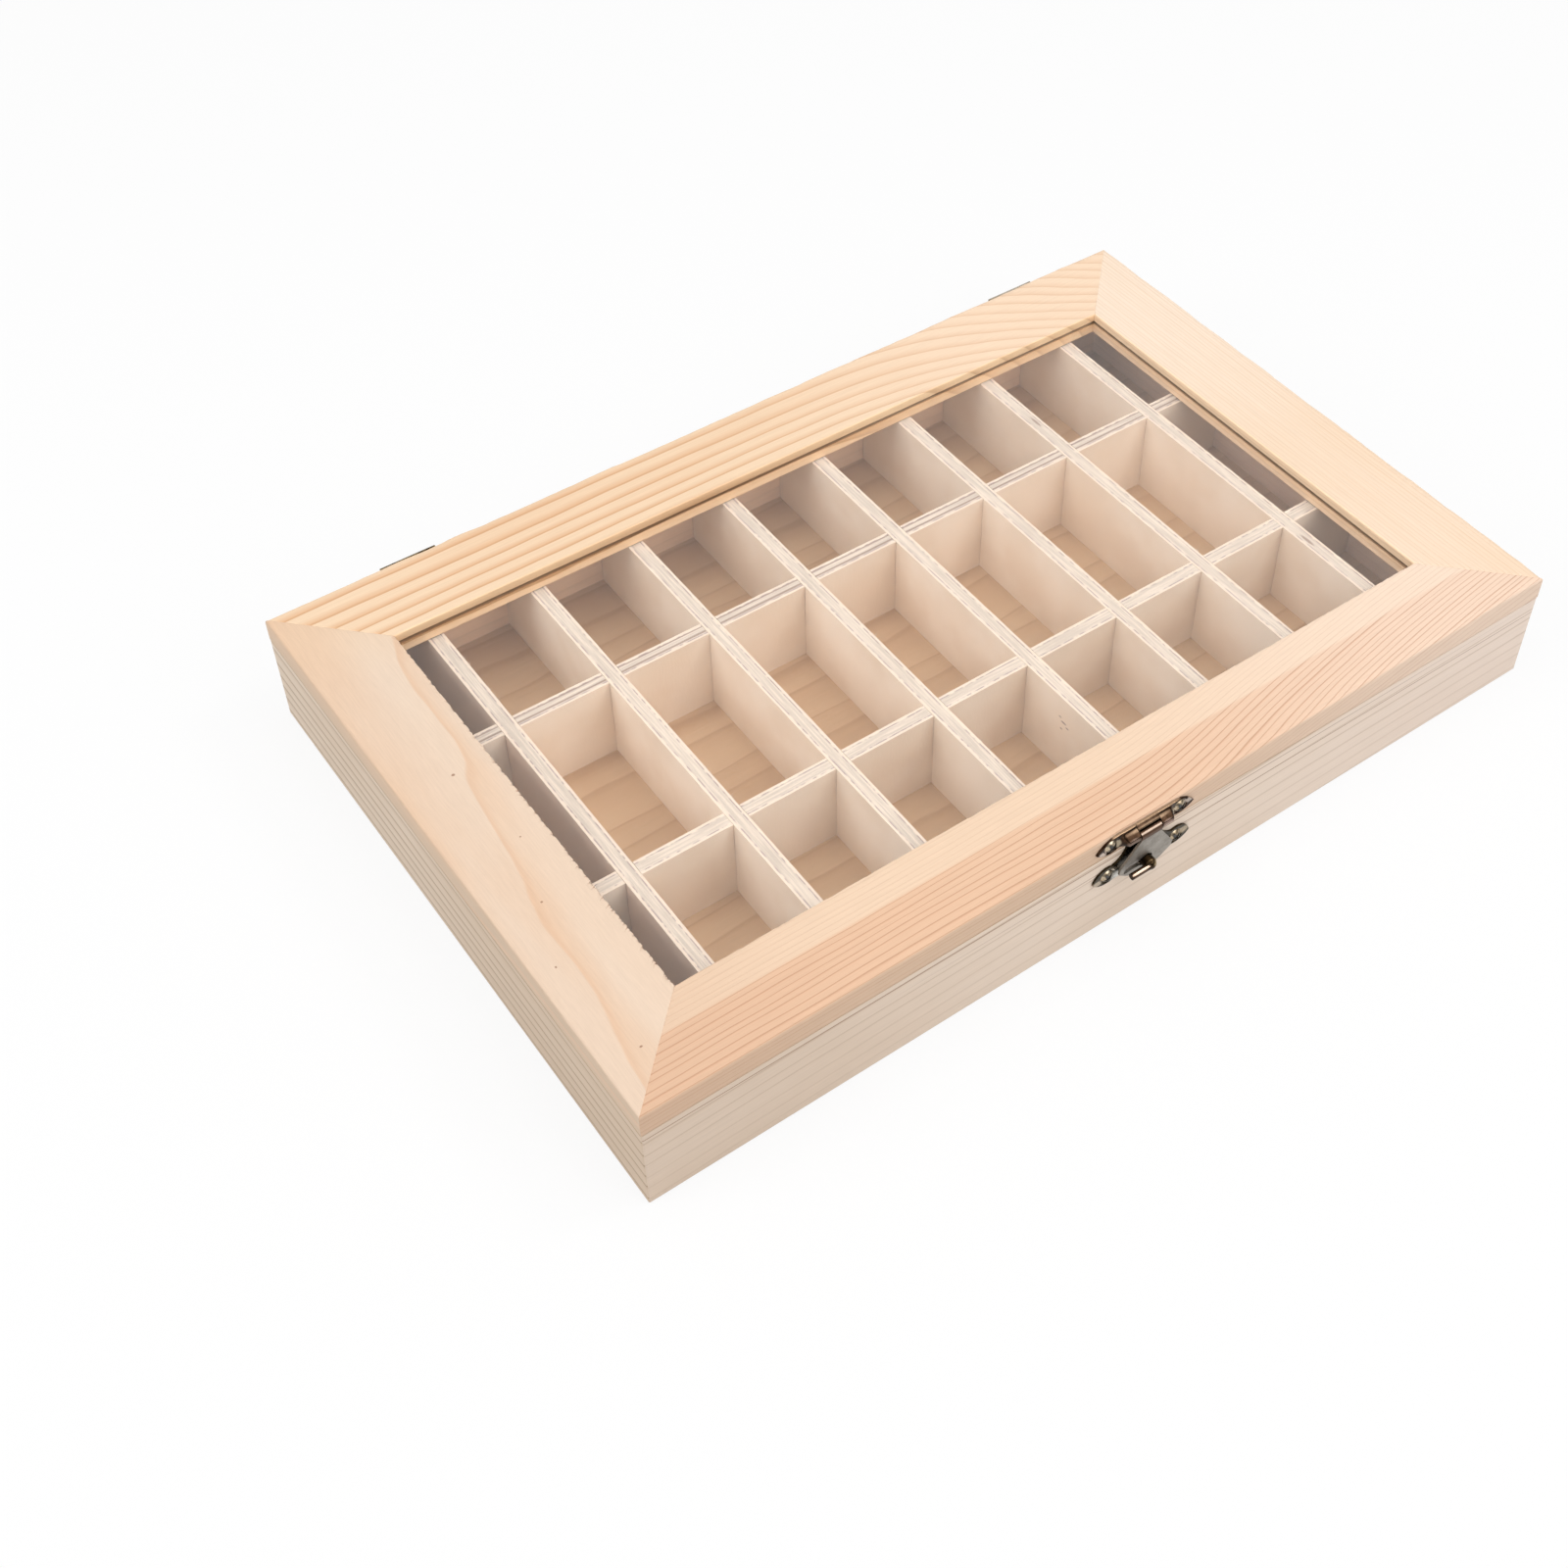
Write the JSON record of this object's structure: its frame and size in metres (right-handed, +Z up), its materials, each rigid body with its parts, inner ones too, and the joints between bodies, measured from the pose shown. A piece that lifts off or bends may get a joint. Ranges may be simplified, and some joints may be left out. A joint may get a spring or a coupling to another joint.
{
  "type": "rock specimen box",
  "caption": "Shallow pine display box with a framed clear hinged lid, a plywood grid of equal cells and a small bronze hasp.",
  "frame": {"origin": "centre of the underside, on the surface that the box stands on", "axes": "+X along the front towards the right, +Y from the front to the back, +Z up"},
  "size_m": [0.28, 0.1881, 0.035],
  "materials": {
    "wall_pine": "bare sanded pine, pale, with fine straight grain",
    "lid_pine": "bare sanded pine with warm growth bands",
    "floor_pine": "bare thin pine board, warm tan",
    "plywood": "bare three-ply with sawn edges",
    "clear_pane": "clear acrylic sheet",
    "antique_bronze": "antique bronze plate, dark in the hollows and bright on the edges",
    "flap_metal": "dull grey-bronze sheet with fine scratches",
    "screw_brass": "brass-plated cross-recess screws"
  },
  "bodies": {
    "box": {"front_wall": "wall_pine", "back_wall": "wall_pine", "left_wall": "wall_pine", "right_wall": "wall_pine", "bottom_panel": "floor_pine", "short_divider_1": "plywood", "short_divider_2": "plywood", "short_divider_3": "plywood", "short_divider_4": "plywood", "short_divider_5": "plywood", "short_divider_6": "plywood", "short_divider_7": "plywood", "short_divider_8": "plywood", "long_divider_1": "plywood", "long_divider_2": "plywood", "left_hinge_box_leaf": "antique_bronze", "right_hinge_box_leaf": "antique_bronze", "left_hinge_pin": "antique_bronze", "right_hinge_pin": "antique_bronze", "hinge_box_screws": "screw_brass", "latch_lower_plate": "antique_bronze", "lower_plate_screws": "screw_brass"},
    "lid": {"lid_front_rail": "lid_pine", "lid_back_rail": "lid_pine", "lid_left_rail": "lid_pine", "lid_right_rail": "lid_pine", "window_pane": "clear_pane", "left_hinge_lid_leaf": "antique_bronze", "right_hinge_lid_leaf": "antique_bronze", "hinge_lid_screws": "screw_brass", "latch_upper_plate": "antique_bronze", "upper_plate_screws": "screw_brass", "flap_pin": "antique_bronze"},
    "flap": {"latch_flap": "flap_metal"},
    "hook": {"latch_hook": "antique_bronze"}
  },
  "joints": [
    {"name": "lid_hinge", "type": "hinge", "parent": "box", "child": "lid", "pos_m": [0, 0.0915, 0.02775], "axis": [-1, 0, 0], "range_deg": [0, 180]},
    {"name": "flap_hinge", "type": "hinge", "parent": "lid", "child": "flap", "pos_m": [0.0005, -0.0918, 0.0316], "axis": [-1, 0, 0], "range_deg": [0, 140]},
    {"name": "hook_turn", "type": "hinge", "parent": "box", "child": "hook", "pos_m": [0.0005, -0.09, 0.0206], "axis": [0, 1, 0], "range_deg": [0, 180]}
  ]
}
